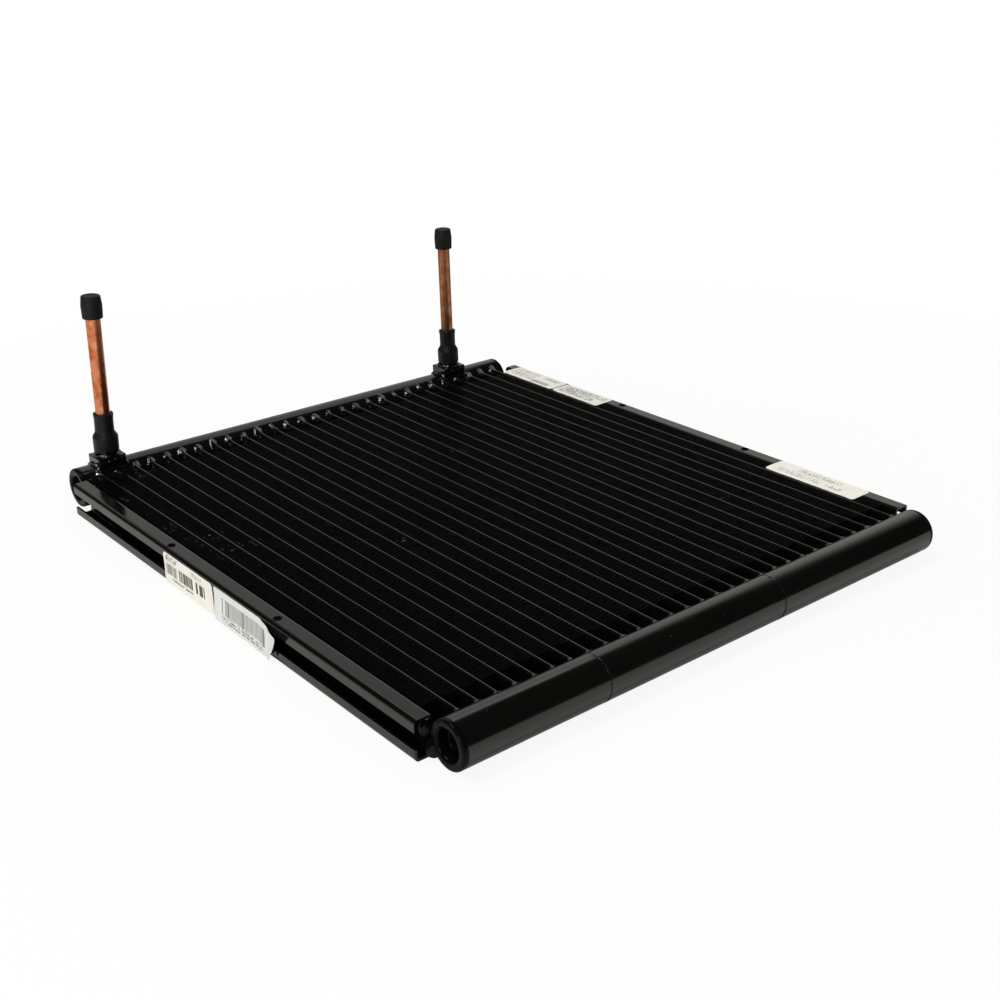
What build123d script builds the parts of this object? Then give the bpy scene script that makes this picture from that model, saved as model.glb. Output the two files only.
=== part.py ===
from build123d import *
import os
from math import hypot, sqrt

# A flat-tube condenser coil that lies on its two round headers.
# Millimetres. X runs along the headers, Y along the flat tubes, Z is up.
# The origin is on the surface that the coil lies on, under the middle of the core.
# "front" is the -Y header, "rear" the +Y header that carries the stubs, "left" is -X.

# Flat tubes
tube_count = 29
tube_pitch = 10.0
tube_width = 16.0
tube_thickness = 1.8
tube_edge_chamfer = 0.5
port_count = 4
port_web = 0.7
port_wall = 0.4
tube_nose = 1.0

# Headers
header_spacing = 338.0
header_od = 22.0
header_wall = 1.5
tube_end_to_axis = 3.5
braze_gap = 0.05

# End plugs
plug_flange = 2.5
plug_depth = 6.0
plug_gap_left = 2.6
plug_gap_right = 0.1
plug_floor = 2.5
plug_recess_diameter = 13.4
plug_edge_radius = 2.2
plug_mouth_chamfer = 0.7

# Baffles, each placed by the number of tubes to its left
baffle_thickness = 1.5
baffle_inset = 0.2
front_baffles_after = (7, 18)
rear_baffles_after = (3, 12, 23)

# Folded fins: coarser folds of thicker sheet than the real strip, with the same metal in them
fin_walls = 40
fin_gauge = 0.45
fin_setback = 0.3
fin_end_to_axis = 20.0
strips_per_pack = 5

# Side channels, open outwards, flush with the top edges of the tubes
channel_end_gap = 1.0
channel_height = 19.0
channel_depth = 9.4
channel_lip = 5.5
channel_sheet = 1.2
channel_bend = 2.0
channel_hole = 3.2
channel_hole_spacing = 100.0
channel_hole_from_web = 5.4

# Fitting blocks on the crest of the rear header
block_length = 16.5
block_width = 14.0
block_rise = 4.6
block_corner_radius = 0.8
block_edge_radius = 0.5
block_socket = 3.5
socket_gap = 0.15
socket_floor_gap = 0.25
flow_bore = 5.0

# Stubs, each leaning a little in its socket: degrees towards +X
stub_places = {"left": -132.0, "right": 109.9}
stub_leans = {"left": 1.6, "right": -1.0}
copper_diameters = {"left": 7.94, "right": 7.45}
copper_wall = 0.8
copper_rise = 89.0
copper_insertion = 7.5
spigot_wall = 1.7
spigot_rise = 10.5

# Shrink sleeves
sleeve_wall = 1.2
sleeve_foot_rise = 2.4
sleeve_length = 21.6
sleeve_neck_length = 10.5
sleeve_shoulder = 2.9
sleeve_mouth_flare = 0.4
sleeve_mouth_length = 2.0

# Rubber caps
cap_wall = 1.6
cap_floor = 1.6
cap_length = 12.5
cap_foot_taper = 0.25
cap_foot_length = 1.5
cap_crown_radius = 1.5

# Labels
label_thickness = 0.2
label_corner_radius = 2.0
side_label_height = 15.0
side_label_foot = 0.8
side_label_rear_start = 51.5
side_label_rear_length = 49.0
side_label_gap = 0.5
side_label_front_length = 40.0
side_label_curl_radius = 16.0
side_label_curl_angle = 42.0
top_label_width = 15.0
top_label_margin = 2.0
top_label_gap = 1.0
top_label_rear_inset = 6.75
top_label_rear_length = 47.5
top_label_middle_length = 41.5
top_label_front_inset = 21.75
top_label_front_length = 59.5

# Places worked out from the sizes above
header_radius = header_od / 2
bore_radius = header_radius - header_wall
axis_z = header_radius
tube_half_width = tube_width / 2
core_top = axis_z + tube_half_width
tube_length = header_spacing - 2 * tube_end_to_axis
fin_height = tube_pitch - tube_thickness
fin_length = header_spacing - 2 * fin_end_to_axis
fin_depth = tube_width - 2 * fin_setback
first_tube_x = -(tube_count - 1) * tube_pitch / 2
header_left_x = first_tube_x - tube_thickness / 2 - plug_gap_left - plug_depth
header_right_x = -first_tube_x + tube_thickness / 2 + plug_gap_right + plug_depth
header_length = header_right_x - header_left_x
channel_length = header_spacing - header_od - 2 * channel_end_gap
web_face_x = -first_tube_x + tube_thickness / 2 + fin_height
channel_face_x = web_face_x + channel_depth
channel_mid_z = core_top - channel_height / 2
block_top = axis_z + header_radius + block_rise
rear_y = header_spacing / 2
side_label_front_start = side_label_rear_start - side_label_rear_length - side_label_gap
top_label_rear_start = channel_length / 2 - top_label_rear_inset
top_label_middle_start = top_label_rear_start - top_label_rear_length - top_label_gap
top_labels = {
    "rear": (top_label_rear_start, top_label_rear_length),
    "middle": (top_label_middle_start, top_label_middle_length),
    "front": (top_label_front_inset + top_label_front_length - channel_length / 2, top_label_front_length),
}


def tube_x(index):
    return first_tube_x + index * tube_pitch


def baffle_x(tubes_to_left):
    return tube_x(tubes_to_left) - tube_pitch / 2


def across(x, y):
    """A plane square to the headers: its own x is +Y and its own y is +Z."""
    return Plane(origin=(x, y, axis_z), x_dir=(0, 1, 0), z_dir=(1, 0, 0))


def flat_tube(index):
    outline = Rectangle(tube_thickness, tube_width)
    outline = chamfer(outline.vertices(), tube_edge_chamfer)
    port_space = tube_width - 2 * tube_nose
    port_step = (port_space + port_web) / port_count
    port = Rectangle(tube_thickness - 2 * port_wall, port_step - port_web)
    ports = [
        Pos(0, (row - (port_count - 1) / 2) * port_step) * port
        for row in range(port_count)
    ]
    section = Plane((tube_x(index), 0, axis_z), x_dir=(1, 0, 0), z_dir=(0, -1, 0)) * (outline - ports)
    return extrude(section, tube_length / 2, both=True)


def fin_strip(x):
    """One folded strip, a zigzag ribbon whose crests meet the tubes on both sides."""
    step = fin_length / fin_walls
    slope = hypot(step, fin_height) / step
    half_gauge = fin_gauge * slope / 2
    reach = fin_height / 2 - half_gauge
    near, far = [], []
    for fold in range(fin_walls + 1):
        y = fold * step - fin_length / 2
        crest = reach if fold % 2 else -reach
        near.append((x + crest - half_gauge, y))
        far.append((x + crest + half_gauge, y))
    ribbon = Plane.XY.offset(axis_z) * make_face(Polyline(*near, *reversed(far), close=True))
    return extrude(ribbon, fin_depth / 2, both=True)


def fin_pack(number):
    first = number * strips_per_pack
    strips = range(first, min(first + strips_per_pack, tube_count + 1))
    return Compound(children=[fin_strip(tube_x(strip) - tube_pitch / 2) for strip in strips])


def header(side, baffles_after, port_places):
    y = side * header_spacing / 2
    ring = Circle(header_radius) - Circle(bore_radius)
    pipe = extrude(across(header_left_x, y) * ring, header_length)
    slot = Box(tube_thickness + 2 * braze_gap, header_radius, tube_width + 2 * braze_gap)
    cuts = [
        Pos(tube_x(index), y - side * header_radius / 2, axis_z) * slot
        for index in range(tube_count)
    ]
    baffle_slot = Box(baffle_thickness + 2 * braze_gap, header_radius, header_od)
    cuts += [
        Pos(baffle_x(after), y + side * header_radius / 2, axis_z) * baffle_slot
        for after in baffles_after
    ]
    cuts += [
        Pos(x, y, axis_z + header_radius / 2) * Cylinder(flow_bore / 2, header_radius)
        for x in port_places
    ]
    return pipe - cuts


def baffle(side, tubes_to_left):
    """A disc that fills the bore, with an outer half that also fills its slot in the wall."""
    inner = Circle(bore_radius - braze_gap)
    rim_radius = header_radius - baffle_inset
    outer_half = Pos(side * (braze_gap + rim_radius / 2), 0) * Rectangle(rim_radius, 2 * rim_radius)
    outer = Circle(rim_radius) & outer_half
    plane = across(baffle_x(tubes_to_left), side * header_spacing / 2)
    return extrude(plane * (inner + outer), baffle_thickness / 2, both=True)


def end_plug(side, end):
    seat = Plane(
        origin=(header_left_x if end < 0 else header_right_x, side * header_spacing / 2, axis_z),
        x_dir=(0, 1, 0),
        z_dir=(end, 0, 0),
    )
    flange = extrude(Circle(header_radius), plug_flange)
    flange = fillet(flange.edges().group_by(Axis.Z)[-1], plug_edge_radius)
    body = extrude(Circle(bore_radius - braze_gap), -plug_depth)
    recess_depth = plug_flange + plug_depth - plug_floor
    recess = Pos(0, 0, plug_flange) * extrude(Circle(plug_recess_diameter / 2), -recess_depth)
    mouth = Pos(0, 0, plug_flange - plug_mouth_chamfer) * extrude(
        Circle(plug_recess_diameter / 2), plug_mouth_chamfer, taper=-45
    )
    return seat * (flange + body - recess - mouth)


def spigot_diameter(hand):
    return copper_diameters[hand] + 2 * braze_gap + 2 * spigot_wall


def fitting_block(hand):
    x = stub_places[hand]
    height = block_top - axis_z
    plan = RectangleRounded(block_length, block_width, block_corner_radius)
    block = extrude(Plane((x, rear_y, axis_z)) * plan, height)
    block = fillet(block.edges().group_by(Axis.Z)[-1], block_edge_radius)
    saddle = extrude(across(x, rear_y) * Circle(header_radius + braze_gap), block_length, both=True)
    socket = Pos(x, rear_y, block_top - block_socket / 2) * Cylinder(
        spigot_diameter(hand) / 2 + socket_gap, block_socket
    )
    bore = Pos(x, rear_y, axis_z + height / 2) * Cylinder(flow_bore / 2, height)
    return block - [saddle, socket, bore]


def turned(hand, *profile):
    """A piece turned about the leaning axis of a stub, from (radius, height over the block) points."""
    outline = make_face(Polyline(*[(radius, 0, height) for radius, height in profile], close=True))
    leaning = Rot(0, stub_leans[hand], 0) * revolve(outline, Axis.Z)
    return Pos(stub_places[hand], rear_y, block_top) * leaning


def spigot(hand):
    outer = spigot_diameter(hand) / 2
    socket = copper_diameters[hand] / 2 + braze_gap
    ledge = spigot_rise - copper_insertion - braze_gap
    return turned(
        hand,
        (flow_bore / 2, -block_socket + socket_floor_gap),
        (outer, -block_socket + socket_floor_gap),
        (outer, spigot_rise),
        (socket, spigot_rise),
        (socket, ledge),
        (flow_bore / 2, ledge),
    )


def copper_stub(hand):
    outer = copper_diameters[hand] / 2
    bore = outer - copper_wall
    foot = spigot_rise - copper_insertion
    return turned(hand, (bore, foot), (outer, foot), (outer, copper_rise), (bore, copper_rise))


def shrink_sleeve(hand):
    """A stepped sleeve: wide over the spigot, narrow over the copper, with a slightly flared mouth."""
    wide = spigot_diameter(hand) / 2 + braze_gap
    narrow = copper_diameters[hand] / 2 + braze_gap
    mouth = sleeve_foot_rise + sleeve_length
    mouth_foot = mouth - sleeve_mouth_length
    neck_foot = mouth - sleeve_neck_length
    wide_top = neck_foot - sleeve_shoulder
    return turned(
        hand,
        (wide, sleeve_foot_rise),
        (wide + sleeve_wall, sleeve_foot_rise),
        (wide + sleeve_wall, wide_top),
        (narrow + sleeve_wall, neck_foot),
        (narrow + sleeve_wall, mouth_foot),
        (narrow + sleeve_wall + sleeve_mouth_flare, mouth),
        (narrow, mouth),
        (narrow, neck_foot),
        (wide, max(wide_top, spigot_rise + braze_gap)),
    )


def stub_cap(hand):
    """A soft cap with a tapered foot and a rounded crown."""
    bore = copper_diameters[hand] / 2 + braze_gap
    outer = bore + cap_wall
    top = copper_rise + cap_floor
    foot = top - cap_length
    cap = turned(
        hand,
        (bore, foot),
        (outer - cap_foot_taper, foot),
        (outer, foot + cap_foot_length),
        (outer - cap_foot_taper / 2, top),
        (0, top),
        (0, copper_rise),
        (bore, copper_rise),
    )
    return fillet(cap.edges().group_by(Axis.Z)[-1], cap_crown_radius)


def side_channel(end):
    """A lipped channel: web on the outer fins, flanges and lips turned outwards, bends rounded."""
    half = channel_height / 2
    outer = Rectangle(channel_depth, channel_height)
    outer = fillet(outer.vertices(), channel_bend)
    hollow = Rectangle(channel_depth - 2 * channel_sheet, channel_height - 2 * channel_sheet)
    hollow = fillet(hollow.vertices(), channel_bend - channel_sheet)
    gap = Pos(channel_depth / 2, 0) * Rectangle(2 * channel_sheet, 2 * (half - channel_lip))
    middle = Plane(
        origin=(end * (web_face_x + channel_depth / 2), 0, channel_mid_z),
        x_dir=(end, 0, 0),
        z_dir=(0, -end, 0),
    )
    channel = extrude(middle * (outer - hollow - gap), channel_length / 2, both=True)
    hole = Cylinder(channel_hole / 2, 4 * channel_sheet)
    hole_x = end * (web_face_x + channel_hole_from_web)
    holes = [Pos(hole_x, spot * channel_hole_spacing / 2, core_top) * hole for spot in (-1, 1)]
    return channel - holes


def side_label_rear():
    bottom = core_top - channel_height + side_label_foot
    return Pos(
        -channel_face_x - label_thickness / 2,
        side_label_rear_start - side_label_rear_length / 2,
        bottom + side_label_height / 2,
    ) * Box(label_thickness, side_label_rear_length, side_label_height)


def side_label_front():
    """The looser label: flat on the lips, with its front end curled away from them."""
    bottom = core_top - channel_height + side_label_foot
    flat_end = side_label_front_start - side_label_front_length
    flat = Line((-channel_face_x, side_label_front_start), (-channel_face_x, flat_end))
    curl = JernArc(flat @ 1, flat % 1, side_label_curl_radius, -side_label_curl_angle)
    outer_flat = Line(flat @ 0 - (label_thickness, 0), flat @ 1 - (label_thickness, 0))
    outer_curl = JernArc(
        outer_flat @ 1, outer_flat % 1, side_label_curl_radius - label_thickness, -side_label_curl_angle
    )
    tip = Line(curl @ 1, outer_curl @ 1)
    back = Line(outer_flat @ 0, flat @ 0)
    strip = make_face(flat + curl + tip + outer_curl + outer_flat + back)
    return extrude(Plane.XY.offset(bottom) * strip, side_label_height)


def top_label(place):
    start_y, length = top_labels[place]
    middle_x = channel_face_x - top_label_margin - top_label_width / 2
    plan = RectangleRounded(top_label_width, length, label_corner_radius)
    return extrude(Plane((middle_x, start_y - length / 2, core_top)) * plan, label_thickness)


parts = {}
for index in range(tube_count):
    parts[f"flat_tube_{index + 1:02d}"] = flat_tube(index)
for number in range(-(-(tube_count + 1) // strips_per_pack)):
    parts[f"fin_pack_{number + 1}"] = fin_pack(number)

parts["front_header"] = header(-1, front_baffles_after, ())
parts["rear_header"] = header(1, rear_baffles_after, stub_places.values())
parts["front_baffles"] = Compound(children=[baffle(-1, after) for after in front_baffles_after])
parts["rear_baffles"] = Compound(children=[baffle(1, after) for after in rear_baffles_after])

for side, side_name in ((-1, "front"), (1, "rear")):
    for end, end_name in ((-1, "left"), (1, "right")):
        parts[f"{side_name}_header_plug_{end_name}"] = end_plug(side, end)

for hand in stub_places:
    parts[f"{hand}_fitting_block"] = fitting_block(hand)
    parts[f"{hand}_spigot"] = spigot(hand)
    parts[f"{hand}_copper_stub"] = copper_stub(hand)
    parts[f"{hand}_shrink_sleeve"] = shrink_sleeve(hand)
    parts[f"{hand}_stub_cap"] = stub_cap(hand)

parts["left_side_channel"] = side_channel(-1)
parts["right_side_channel"] = side_channel(1)
parts["side_label_rear"] = side_label_rear()
parts["side_label_front"] = side_label_front()
for place in top_labels:
    parts[f"top_label_{place}"] = top_label(place)

os.makedirs("parts", exist_ok=True)
for name, shape in parts.items():
    export_step(shape, f"parts/{name}.step")
print(len(parts), "parts written")
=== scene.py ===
import math

import bpy
import numpy as np
from mathutils import Matrix, Quaternion, Vector


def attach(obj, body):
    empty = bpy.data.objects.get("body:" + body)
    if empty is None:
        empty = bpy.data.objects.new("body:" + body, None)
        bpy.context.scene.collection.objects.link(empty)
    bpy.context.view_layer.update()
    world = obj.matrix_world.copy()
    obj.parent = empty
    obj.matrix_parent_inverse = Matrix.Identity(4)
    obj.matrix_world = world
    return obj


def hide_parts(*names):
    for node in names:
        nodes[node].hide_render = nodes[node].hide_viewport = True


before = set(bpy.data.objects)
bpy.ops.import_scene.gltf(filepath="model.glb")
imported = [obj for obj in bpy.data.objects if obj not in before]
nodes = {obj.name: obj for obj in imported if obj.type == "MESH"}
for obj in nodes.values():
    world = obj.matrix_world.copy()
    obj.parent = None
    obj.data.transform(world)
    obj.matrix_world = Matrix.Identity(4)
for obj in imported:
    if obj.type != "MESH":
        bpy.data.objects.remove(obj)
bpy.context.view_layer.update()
mm = 0.001  # tables are in millimetres, Blender works in metres
rng = np.random.default_rng(29)
print("frame loaded:", len(nodes), "nodes")

# sizes that several pieces share, the same as the solids have
core = {
    "tubeCount": 29, "tubePitch": 10.0, "tubeWidth": 16.0, "tubeThickness": 1.8, "tubeLength": 331.0,
    "axisZ": 11.0, "headerRadius": 11.0, "headerY": 169.0, "coreTop": 19.0,
    "headerLeft": -149.5, "headerRight": 147.0, "channelFace": 158.5, "webFace": 149.1,
}


# ---- small helpers

def linear(hexText):
    """sRGB hex to the linear colour that a socket takes."""
    parts = [int(hexText[i:i + 2], 16) / 255 for i in (1, 3, 5)]
    return tuple(c / 12.92 if c <= 0.04045 else ((c + 0.055) / 1.055) ** 2.4 for c in parts) + (1.0,)


def perMetre(size):
    return 1000.0 / size  # a texture scale from the size of one feature in mm


def addNode(tree, kind, inputs=None, **settings):
    made = tree.nodes.new(kind)
    for name, value in settings.items():
        setattr(made, name, value)
    for name, value in (inputs or {}).items():
        if isinstance(value, bpy.types.NodeSocket):
            tree.links.new(value, made.inputs[name])
        else:
            made.inputs[name].default_value = value
    return made


def newMaterial(name):
    material = bpy.data.materials.new(name)
    material.use_nodes = True
    tree = material.node_tree
    tree.nodes.clear()
    shader = addNode(tree, "ShaderNodeBsdfPrincipled")
    addNode(tree, "ShaderNodeOutputMaterial", {"Surface": shader.outputs[0]})
    place = addNode(tree, "ShaderNodeTexCoord").outputs["Object"]
    return material, tree, shader, place


def mathNode(tree, operation, *values):
    return addNode(tree, "ShaderNodeMath", dict(enumerate(values)), operation=operation).outputs[0]


def mixColour(tree, amount, a, b):
    return addNode(tree, "ShaderNodeMix", {0: amount, 6: a, 7: b}, data_type="RGBA").outputs[2]


def spread(tree, value, low, high, toLow, toHigh):
    return addNode(tree, "ShaderNodeMapRange", {0: value, 1: low, 2: high, 3: toLow, 4: toHigh}).outputs[0]


def addPiece(name, points, faces, material, slotName, standsFor=(), sharpAngle=35, flat=False):
    """One mesh piece from points in mm, riding on the part's only body."""
    mesh = bpy.data.meshes.new(name)
    mesh.from_pydata((np.asarray(points, float) * mm).tolist(), [], faces)
    mesh.materials.append(material)
    mesh.update()
    if flat:
        mesh.shade_flat()
    else:
        mesh.shade_smooth()
        mesh.set_sharp_from_angle(angle=math.radians(sharpAngle))
    piece = bpy.data.objects.new(name, mesh)
    bpy.context.scene.collection.objects.link(piece)
    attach(piece, "root")
    if standsFor:
        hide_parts(*standsFor)
    return piece


def bandFaces(rings, count, closed, start=0):
    """Quads between rings of count points each; closed joins the last ring to the first."""
    faces = []
    for r in range(rings if closed else rings - 1):
        a, b = start + r * count, start + ((r + 1) % rings) * count
        for i in range(count):
            j = (i + 1) % count
            faces.append((a + i, a + j, b + j, b + i))
    return faces


def gather(shapes):
    """Several (points, faces) shapes as one."""
    points, faces, base = [], [], 0
    for shapePoints, shapeFaces in shapes:
        points.append(np.asarray(shapePoints, float))
        faces += [tuple(base + i for i in face) for face in shapeFaces]
        base += len(shapePoints)
    return np.concatenate(points), faces


def smoothNoise(count, step, seed, closed=False):
    """A soft random wave from -1 to 1, one value for each of count stations."""
    local = np.random.default_rng(seed)
    knots = max(4, int(count / step))
    values = local.uniform(-1, 1, knots + 1)
    if closed:
        values[-1] = values[0]
    at = np.linspace(0, knots, count, endpoint=not closed)
    low = np.minimum(at.astype(int), knots - 1)
    t = at - low
    t = t * t * (3 - 2 * t)
    return values[low] * (1 - t) + values[low + 1] * t


def rounded(corners, steps=5):
    """A profile with each (r, h, radius) corner turned into an arc."""
    made = []
    count = len(corners)
    for k in range(count):
        radius = corners[k][2]
        p = np.array(corners[k][:2], float)
        if radius <= 0:
            made.append(tuple(p))
            continue
        a = np.array(corners[k - 1][:2], float) - p
        b = np.array(corners[(k + 1) % count][:2], float) - p
        ua, ub = a / np.linalg.norm(a), b / np.linalg.norm(b)
        half = math.acos(max(-1, min(1, float(ua @ ub)))) / 2
        reach = min(radius / math.tan(half), 0.49 * np.linalg.norm(a), 0.49 * np.linalg.norm(b))
        radius = reach * math.tan(half)
        bisector = (ua + ub) / np.linalg.norm(ua + ub)
        centre = p + bisector * radius / math.sin(half)
        start, end = p + ua * reach - centre, p + ub * reach - centre
        a0, a1 = math.atan2(start[1], start[0]), math.atan2(end[1], end[0])
        turn = (a1 - a0 + math.pi) % (2 * math.pi) - math.pi
        for s in range(steps + 1):
            angle = a0 + turn * s / steps
            made.append((centre[0] + radius * math.cos(angle), centre[1] + radius * math.sin(angle)))
    return made


def turned(profile, segments, closed=True, wobble=None):
    """A profile of (radius, height) turned about +Z. A closed profile makes a ring; an open one starts and ends on the axis."""
    angles = np.linspace(0, 2 * math.pi, segments, endpoint=False)
    rings = profile if closed else profile[1:-1]
    points = []
    for k, (radius, height) in enumerate(rings):
        r = np.full(segments, radius)
        z = np.full(segments, height)
        if wobble is not None:
            r, z = wobble(r, z, angles)
        points.append(np.stack([r * np.cos(angles), r * np.sin(angles), z], axis=1))
    points = np.concatenate(points)
    faces = bandFaces(len(rings), segments, closed)
    if not closed:
        first, last = len(points), len(points) + 1
        points = np.concatenate([points, [[0, 0, profile[0][1]], [0, 0, profile[-1][1]]]])
        base = (len(rings) - 1) * segments
        for i in range(segments):
            j = (i + 1) % segments
            faces.append((first, j, i))
            faces.append((last, base + i, base + j))
    return points, faces


def moved(shape, matrix):
    points, faces = shape
    m = np.array(matrix, float)
    return np.asarray(points) @ m[:3, :3].T + m[:3, 3], faces


# ---- materials

def coated(name, look):
    """Black electro-coat on brazed aluminium: a thin, even, slightly wet-looking film with fine orange peel,
    cloudy changes of gloss where it was handled, and grey specks of dust."""
    material, tree, shader, place = newMaterial(name)
    cloud = addNode(tree, "ShaderNodeTexNoise", {"Vector": place, "Scale": perMetre(look["cloud"]), "Detail": 4.0})
    fine = addNode(tree, "ShaderNodeTexNoise", {"Vector": place, "Scale": perMetre(look["peel"]), "Detail": 2.0})
    specks = addNode(tree, "ShaderNodeTexVoronoi", {"Vector": place, "Scale": perMetre(look["speckSpacing"])})
    groups = addNode(tree, "ShaderNodeTexNoise", {"Vector": place, "Scale": perMetre(look["speckSpacing"] * 6)})
    near = mathNode(tree, "LESS_THAN", specks.outputs["Distance"], look["speckSize"] / look["speckSpacing"])
    often = mathNode(tree, "GREATER_THAN", groups.outputs["Fac"], look["speckLevel"])
    speck = mathNode(tree, "MULTIPLY", near, often)
    body = mixColour(tree, cloud.outputs["Fac"], linear(look["base"]), linear(look["worn"]))
    tree.links.new(mixColour(tree, speck, body, linear(look["speck"])), shader.inputs["Base Color"])
    gloss = spread(tree, cloud.outputs["Fac"], 0.3, 0.7, *look["roughness"])
    rough = mathNode(tree, "ADD", gloss, mathNode(tree, "MULTIPLY", speck, 0.3))
    tree.links.new(rough, shader.inputs["Roughness"])
    height = fine.outputs["Fac"]
    if look.get("ripple"):
        along = addNode(tree, "ShaderNodeSeparateXYZ", {0: place}).outputs["Y"]
        turn = mathNode(tree, "MULTIPLY", along, 2 * math.pi * perMetre(look["ripple"]))
        wave = spread(tree, mathNode(tree, "SINE", turn), -1.0, 1.0, 0.0, look["rippleShare"])
        height = mathNode(tree, "ADD", height, wave)
    bump = addNode(tree, "ShaderNodeBump", {"Height": height, "Distance": look["peelDepth"] * mm, "Strength": 1.0})
    tree.links.new(bump.outputs[0], shader.inputs["Normal"])
    shader.inputs["IOR"].default_value = look["ior"]
    return material


coats = {
    "header": {"base": "#080807", "worn": "#0b0a09", "speck": "#4a4944", "cloud": 30.0, "peel": 1.6, "peelDepth": 0.006,
               "roughness": (0.12, 0.18), "ior": 1.5, "speckSpacing": 8.0, "speckSize": 0.26, "speckLevel": 0.55},
    "plug": {"base": "#060605", "worn": "#090807", "speck": "#4a4944", "cloud": 10.0, "peel": 1.6, "peelDepth": 0.02,
             "roughness": (0.16, 0.26), "ior": 1.15, "speckSpacing": 8.0, "speckSize": 0.26, "speckLevel": 0.6},
    "tube": {"base": "#060605", "worn": "#0c0b09", "speck": "#3a3935", "cloud": 12.0, "peel": 1.2, "peelDepth": 0.008,
             "roughness": (0.05, 0.09), "ior": 1.62, "speckSpacing": 7.0, "speckSize": 0.26, "speckLevel": 0.6,
             "ripple": 2.4, "rippleShare": 3.0},
    "fin": {"base": "#040403", "worn": "#080706", "speck": "#2e2d29", "cloud": 9.0, "peel": 0.8, "peelDepth": 0.01,
            "roughness": (0.42, 0.56), "ior": 1.25, "speckSpacing": 6.0, "speckSize": 0.3, "speckLevel": 0.6},
    # pale greys of the knocked fin edges: partly split coating, partly a painted highlight for their glints
    "scuffAndGlint": {"base": "#35342f", "worn": "#68665f", "speck": "#9a988f", "cloud": 1.5, "peel": 0.6, "peelDepth": 0.02,
              "roughness": (0.28, 0.45), "ior": 1.5, "speckSpacing": 3.0, "speckSize": 0.3, "speckLevel": 0.5},
    "channel": {"base": "#090908", "worn": "#0c0c0b", "speck": "#6a6962", "cloud": 40.0, "peel": 2.2, "peelDepth": 0.004,
                "roughness": (0.08, 0.13), "ior": 1.41, "speckSpacing": 11.0, "speckSize": 0.28, "speckLevel": 0.56},
    "fitting": {"base": "#060606", "worn": "#0a0a09", "speck": "#3e3d38", "cloud": 8.0, "peel": 2.6, "peelDepth": 0.09,
                "roughness": (0.06, 0.11), "ior": 1.5, "speckSpacing": 6.0, "speckSize": 0.28, "speckLevel": 0.6},
    "braze": {"base": "#060605", "worn": "#0b0a08", "speck": "#4a4943", "cloud": 5.0, "peel": 1.7, "peelDepth": 0.42,
              "roughness": (0.04, 0.07), "ior": 1.72, "speckSpacing": 5.0, "speckSize": 0.28, "speckLevel": 0.6},
}
coat = {key: coated("electroCoat_" + key, look) for key, look in coats.items()}


def drawnCopper(name, look):
    """Drawn copper tube left bare in air: warm orange metal with fine lengthwise draw lines, short handling
    scratches, and patches of brown oxide, darkest at the foot where the torch was."""
    material, tree, shader, place = newMaterial(name)
    xyz = addNode(tree, "ShaderNodeSeparateXYZ", {0: place})
    stretched = addNode(tree, "ShaderNodeMapping", {"Vector": place, "Scale": (1.0, 1.0, 0.06)})
    draw = addNode(tree, "ShaderNodeTexNoise",
                   {"Vector": stretched.outputs[0], "Scale": perMetre(look["drawLine"]), "Detail": 3.0})
    patch = addNode(tree, "ShaderNodeTexNoise",
                    {"Vector": place, "Scale": perMetre(look["patch"]), "Detail": 5.0, "Roughness": 0.6})
    crossed = addNode(tree, "ShaderNodeMapping", {"Vector": place, "Rotation": (0.5, 0.35, 0.0), "Scale": (1, 1, 0.22)})
    scratch = addNode(tree, "ShaderNodeTexNoise",
                      {"Vector": crossed.outputs[0], "Scale": perMetre(look["scratch"]), "Detail": 2.0})
    marks = spread(tree, scratch.outputs["Fac"], 0.62, 0.72, 0.0, 1.0)
    base = mixColour(tree, spread(tree, patch.outputs["Fac"], 0.38, 0.66, 0.0, 1.0),
                     linear(look["bright"]), linear(look["brown"]))
    base = mixColour(tree, spread(tree, draw.outputs["Fac"], 0.35, 0.75, 0.0, 0.35), base, linear(look["line"]))
    footward = spread(tree, xyz.outputs["Z"], look["footTop"] * mm, look["footEnd"] * mm, 0.0, look["footShare"])
    uneven = mathNode(tree, "MULTIPLY", footward, spread(tree, patch.outputs["Fac"], 0.3, 0.6, 0.4, 1.0))
    base = mixColour(tree, uneven, base, linear(look["tarnish"]))
    base = mixColour(tree, mathNode(tree, "MULTIPLY", marks, 0.5), base, linear(look["mark"]))
    tree.links.new(base, shader.inputs["Base Color"])
    shader.inputs["Metallic"].default_value = 1.0
    rough = mathNode(tree, "ADD", spread(tree, patch.outputs["Fac"], 0.3, 0.7, *look["roughness"]),
                     mathNode(tree, "MULTIPLY", marks, 0.12))
    tree.links.new(rough, shader.inputs["Roughness"])
    relief = mathNode(tree, "ADD", draw.outputs["Fac"], mathNode(tree, "MULTIPLY", marks, 0.8))
    bump = addNode(tree, "ShaderNodeBump", {"Height": relief, "Distance": look["relief"] * mm, "Strength": 1.0})
    tree.links.new(bump.outputs[0], shader.inputs["Normal"])
    return material


copperLooks = {
    "left": {"bright": "#ee9f78", "brown": "#c45a2e", "line": "#9a4c24", "mark": "#fbd2b6", "tarnish": "#8e6038",
             "drawLine": 0.8, "patch": 6.5, "scratch": 1.8, "relief": 0.012, "roughness": (0.24, 0.38),
             "footTop": 75.0, "footEnd": 50.0, "footShare": 0.3},
    "right": {"bright": "#d0936c", "brown": "#a8623a", "line": "#8e5028", "mark": "#e8bb9a", "tarnish": "#5c4a2c",
              "drawLine": 0.8, "patch": 6.0, "scratch": 1.8, "relief": 0.012, "roughness": (0.36, 0.5),
              "footTop": 72.0, "footEnd": 50.0, "footShare": 0.85},
}
copper = {side: drawnCopper("drawnCopper_" + side, look) for side, look in copperLooks.items()}


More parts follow.
